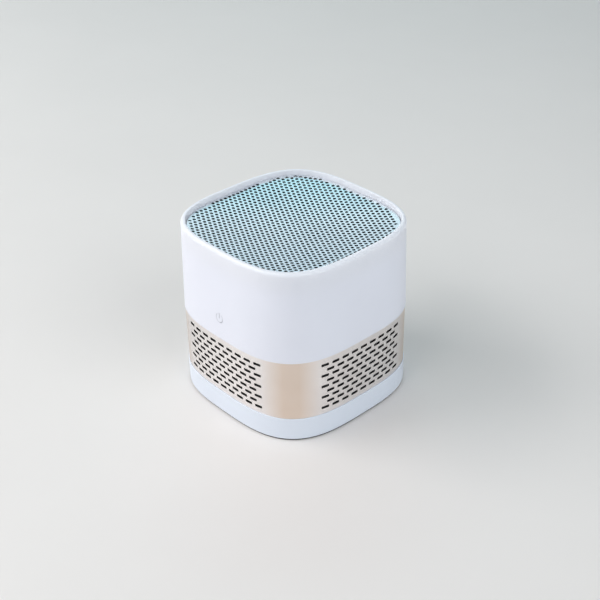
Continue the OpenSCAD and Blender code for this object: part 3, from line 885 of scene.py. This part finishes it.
def make_grille():
    holes = []
    for i in range(-21, 21):
        for j in range(-36, 37):
            x = (i + 0.5) * HP * math.cos(math.pi / 6)
            y = (j + (0 if i % 2 == 0 else 0.5)) * HP
            if (abs(x) ** HOLE_EXP + abs(y) ** HOLE_EXP) ** (1 / HOLE_EXP) < G_A - 1.2:
                holes.append((x, y))
    K = 18
    ro = HR + G_CH
    ol = Outline(G_A - 0.22)
    nb = 300
    sb = ol.length * np.arange(nb) / nb
    bp, bnm = ol.at(sb)
    pts = [tuple(map(float, p)) for p in bp]
    segs = [(i, (i + 1) % nb) for i in range(nb)]
    for (hx, hy) in holes:
        k0 = len(pts)
        pts += [(hx + ro * math.cos(2 * math.pi * i / K), hy + ro * math.sin(2 * math.pi * i / K)) for i in range(K)]
        segs += [(k0 + i, k0 + (i + 1) % K) for i in range(K)]
    co, _, tris, ov, _, _ = geometry.delaunay_2d_cdt([Vector(p) for p in pts], segs, [], 0, 1e-7, True)
    assert len(co) == len(pts), (len(co), len(pts))
    remap = [v[0] for v in ov]
    C = np.array(holes)
    T = np.array([list(t) for t in tris])
    X = np.array([[c[0], c[1]] for c in co])
    cen = X[T].mean(1)
    keep = np.ones(len(T), bool)
    col = np.round(cen[:, 0] / (HP * math.cos(math.pi / 6)) - 0.5).astype(int)
    for dc in (-1, 0, 1):
        cc = col + dc
        hx = (cc + 0.5) * HP * math.cos(math.pi / 6)
        off = np.where(cc % 2 == 0, 0.0, 0.5)
        jj = np.round(cen[:, 1] / HP - off)
        hy = (jj + off) * HP
        real = ((np.abs(hx) ** HOLE_EXP + np.abs(hy) ** HOLE_EXP) ** (1 / HOLE_EXP)) < G_A - 1.2
        keep &= ~(real & (np.hypot(cen[:, 0] - hx, cen[:, 1] - hy) < ro * 0.985))
    # signed area of each triangle, to set its winding
    on = X[T]
    area = (on[:, 1, 0] - on[:, 0, 0]) * (on[:, 2, 1] - on[:, 0, 1]) - (on[:, 1, 1] - on[:, 0, 1]) * (on[:, 2, 0] - on[:, 0, 0])
    verts, faces, norms = [], [], []
    N = len(pts)
    nz = [dish_n(x, y) for (x, y) in pts]

    def put(x, y, depth):
        n = dish_n(x, y)
        verts.append((x - depth * n[0], y - depth * n[1], dish(x, y) - depth * n[2]))
        return len(verts) - 1

    top = [put(x, y, 0.0) for (x, y) in pts]
    # underside: the same layout, holes at their true size
    under_pts = [tuple(p) for p in pts]
    for h, (hx, hy) in enumerate(holes):
        for i in range(K):
            w = 2 * math.pi * i / K
            under_pts[nb + h * K + i] = (hx + HR * math.cos(w), hy + HR * math.sin(w))
    bot = [put(x, y, G_T) for (x, y) in under_pts]
    for t, k, ar in zip(T, keep, area):
        if not k:
            continue
        ids = [remap[v] for v in (t if ar > 0 else t[::-1])]
        faces.append(tuple(top[v] for v in ids))
        norms += [nz[v] for v in ids]
        faces.append(tuple(bot[v] for v in ids[::-1]))
        norms += [tuple(-c for c in nz[v]) for v in ids[::-1]]
    for h, (hx, hy) in enumerate(holes):
        n0 = dish_n(hx, hy)
        wall, wn = [], []
        for i in range(K):
            w = 2 * math.pi * i / K
            wall.append(put(hx + HR * math.cos(w), hy + HR * math.sin(w), G_CH))
            wn.append((-math.cos(w), -math.sin(w), 0.0))
        k0 = nb + h * K
        for i in range(K):
            j = (i + 1) % K
            a, b = k0 + i, k0 + j
            faces.append((top[a], wall[i], wall[j], top[b]))
            norms += [nz[a], wn[i], wn[j], nz[b]]
            faces.append((wall[i], bot[a], bot[b], wall[j]))
            norms += [wn[i], wn[i], wn[j], wn[j]]
    # rounded outer edge
    steps = [(0.0, 0.0), (0.10, 0.03), (0.18, 0.10), (0.22, 0.20), (0.22, 0.42), (0.12, 0.57), (0.0, G_T)]
    sn = [(0.0, 1.0), (0.42, 0.9), (0.8, 0.6), (1.0, 0.05), (1.0, -0.1), (0.6, -0.8), (0.0, -1.0)]
    rings = []
    for k, (o, d) in enumerate(steps):
        if k == 0:
            rings.append(top[:nb])
            continue
        if k == len(steps) - 1:
            rings.append(bot[:nb])
            continue
        row = []
        for i in range(nb):
            x, y = bp[i, 0], bp[i, 1]
            n = dish_n(x, y)
            verts.append((float(x + o * bnm[i, 0] - d * n[0]), float(y + o * bnm[i, 1] - d * n[1]), float(dish(x, y) - d * n[2])))
            row.append(len(verts) - 1)
        rings.append(row)
    for k in range(len(steps) - 1):
        for i in range(nb):
            j = (i + 1) % nb
            faces.append((rings[k][i], rings[k + 1][i], rings[k + 1][j], rings[k][j]))
            for (ii, kk) in ((i, k), (i, k + 1), (j, k + 1), (j, k)):
                h_, v_ = sn[kk]
                L = math.hypot(h_, v_)
                norms.append((float(bnm[ii, 0] * h_ / L), float(bnm[ii, 1] * h_ / L), v_ / L))
    return verts, faces, norms


gv, gf, gn = make_grille()
grille = make_mesh("grille_dished", gv, gf, gn)
finish_piece(grille, "grille", MATS["grille"], "grille_metal", "top_grille")

# --------------------------------------------------------------------------
# Power mark, printed on the front wall
# --------------------------------------------------------------------------
def make_mark(cx=0.1, cz=52.2, r=2.15, w=0.42, lift=0.02, thick=0.015):
    """Broken ring and a bar, laid on the wall of the front face."""
    def wall(x, z, up):
        a = 45.08 + (43.97 - 45.08) * (z - shell_lo) / (shell_hi - shell_lo)
        ol = wall.cache.setdefault(round(a, 3), Outline(a + up))
        s = 0.75 * ol.length
        p, n = ol.at(s + x)
        return (float(p[0]), float(p[1]), z)
    wall.cache = {}
    verts, faces = [], []

    def strip(path, width):
        n = len(path)
        rows = []
        for i, (x, z) in enumerate(path):
            x0, z0_ = path[max(0, i - 1)]
            x1, z1_ = path[min(n - 1, i + 1)]
            L = math.hypot(x1 - x0, z1_ - z0_)
            nx, nz_ = -(z1_ - z0_) / L, (x1 - x0) / L
            row = []
            for (side, up) in ((-1, lift - thick), (-1, lift), (1, lift), (1, lift - thick)):
                verts.append(wall(cx + x + side * nx * width / 2, cz + z + side * nz_ * width / 2, up))
                row.append(len(verts) - 1)
            rows.append(row)
        for i in range(n - 1):
            for k in range(4):
                faces.append((rows[i][k], rows[i][(k + 1) % 4], rows[i + 1][(k + 1) % 4], rows[i + 1][k]))
        faces.append(tuple(rows[0][::-1]))
        faces.append(tuple(rows[-1]))
    arc = [(r * math.sin(math.radians(d)), r * math.cos(math.radians(d))) for d in range(34, 327, 6)]
    strip(arc, w)
    strip([(0.0, -0.2 + 0.35 * k) for k in range(9)], w)
    me = bpy.data.meshes.new("power_mark")
    me.from_pydata([tuple(c * MM for c in v) for v in verts], [], faces)
    ob = bpy.data.objects.new("power_mark", me)
    bpy.context.scene.collection.objects.link(ob)
    bm = bmesh.new()
    bm.from_mesh(me)
    bmesh.ops.recalc_face_normals(bm, faces=bm.faces)
    bm.to_mesh(me)
    bm.free()
    return ob


mark = make_mark()
mm_ = Mat("mark_grey_print", srgb(208, 211, 220), 0.5)
mm_.set(Base_Color=mm_.vary(0.8, 0.03), Normal=mm_.bump(mm_.noise(6.0), 0.003, 0.3))
finish_piece(mark, "housing", mm_.m, "shell_white")

# --------------------------------------------------------------------------
# Camera
# --------------------------------------------------------------------------
az, el, roll = math.radians(47.568), math.radians(32.078), math.radians(-1.075)
cam_at = Vector((324.493, -293.453, 315.925)) * MM
b_ = Vector((math.sin(az) * math.cos(el), -math.cos(az) * math.cos(el), math.sin(el)))
r0 = Vector((math.cos(az), math.sin(az), 0))
u0 = b_.cross(r0)
r_ = math.cos(roll) * r0 + math.sin(roll) * u0
u_ = -math.sin(roll) * r0 + math.cos(roll) * u0
cam_data = bpy.data.cameras.new("camera")
cam_data.sensor_width = 36
cam_data.lens = 1110.97 * 36 / 600
cam_data.clip_start = 0.01
cam_data.clip_end = 20
cam = bpy.data.objects.new("camera", cam_data)
cam.matrix_world = Matrix(((r_.x, u_.x, b_.x, cam_at.x), (r_.y, u_.y, b_.y, cam_at.y), (r_.z, u_.z, b_.z, cam_at.z), (0, 0, 0, 1)))
bpy.context.scene.collection.objects.link(cam)
bpy.context.scene.camera = cam

# --------------------------------------------------------------------------
# Floor, world and lights
# --------------------------------------------------------------------------
bm = bmesh.new()
bmesh.ops.create_grid(bm, x_segments=1, y_segments=1, size=3.0)
me = bpy.data.meshes.new("floor")
bm.to_mesh(me)
bm.free()
floor = bpy.data.objects.new("floor", me)
bpy.context.scene.collection.objects.link(floor)
fm = Mat("floor_pale", srgb(230, 226, 222), 0.55)
floor.data.materials.append(fm.set(Base_Color=fm.vary(0.01, 0.01)))

bpy.context.scene.view_settings.view_transform = "Standard"
world = bpy.data.worlds.new("studio")
bpy.context.scene.world = world
world.use_nodes = True
wt = world.node_tree
bg = wt.nodes["Background"]
bg.inputs["Color"].default_value = (0.87, 0.94, 1.0, 1)
bg.inputs["Strength"].default_value = 0.127


def area(name, at, to, size, power, color=(1, 1, 1), size_y=None):
    d = bpy.data.lights.new(name, "AREA")
    d.energy = power
    d.color = color
    d.shape = "RECTANGLE"
    d.size = size
    d.size_y = size_y or size
    o = bpy.data.objects.new(name, d)
    v = Vector(to) - Vector(at)
    o.matrix_world = Matrix.Translation(at) @ v.to_track_quat("-Z", "Y").to_matrix().to_4x4()
    bpy.context.scene.collection.objects.link(o)
    return o


def place(az_deg, el_deg, dist, centre=(0, 0, 0.05)):
    """Point at a bearing measured from +X towards +Y, and a height angle."""
    a_, e_ = math.radians(az_deg), math.radians(el_deg)
    return (centre[0] + dist * math.cos(a_) * math.cos(e_), centre[1] + dist * math.sin(a_) * math.cos(e_), centre[2] + dist * math.sin(e_))


mid = (0, 0, 0.05)
area("key_left_back", place(225, 42, 1.3), mid, 0.85, 7.35, (1.0, 0.993, 0.999), 0.55)
area("key_front_left", place(270, 42, 1.3), mid, 0.85, 4.6, (0.987, 0.98, 1.0), 0.55)
area("low_left_back", place(225, 14, 1.3), mid, 0.85, 3.05, (1.0, 0.972, 0.978), 0.42)
area("low_left", place(180, 14, 1.3), mid, 0.85, 1.3, (1.0, 0.97, 0.96), 0.42)
area("fill_right", place(0, 14, 1.3), mid, 0.85, 2.35, (0.93, 0.972, 1.0), 0.42)
area("fill_right_high", place(0, 42, 1.3), mid, 0.85, 4.2, (0.935, 0.965, 1.0), 0.55)
area("fill_right_back", place(45, 14, 1.3), mid, 0.85, 0.87, (0.93, 0.968, 1.0), 0.42)
area("fill_back_high", place(45, 42, 1.3), mid, 0.85, 0.6, (0.84, 0.91, 1.0), 0.55)
area("front_high", place(-42, 60, 1.3), mid, 0.9, 0.8, (0.87, 0.92, 1.0), 0.5)
area("overhead", (0.0, 0.0, 1.4), mid, 1.0, 1.3, (0.97, 0.985, 1.0), 1.0)
area("back_strip_low", place(137.6, 21, 1.3), mid, 1.2, 0.95, (0.73, 0.90, 1.0), 0.2)
area("back_strip_mid", place(137.6, 32, 1.3), mid, 1.3, 0.93, (0.88, 0.95, 1.0), 0.22)
area("back_strip_high", place(137.6, 43, 1.3), mid, 1.3, 1.12, (0.47, 0.925, 1.0), 0.24)
area("back_high", place(135, 42, 1.3), mid, 0.85, 0.24, (0.2, 0.8, 1.0), 0.55)

bpy.context.view_layer.update()
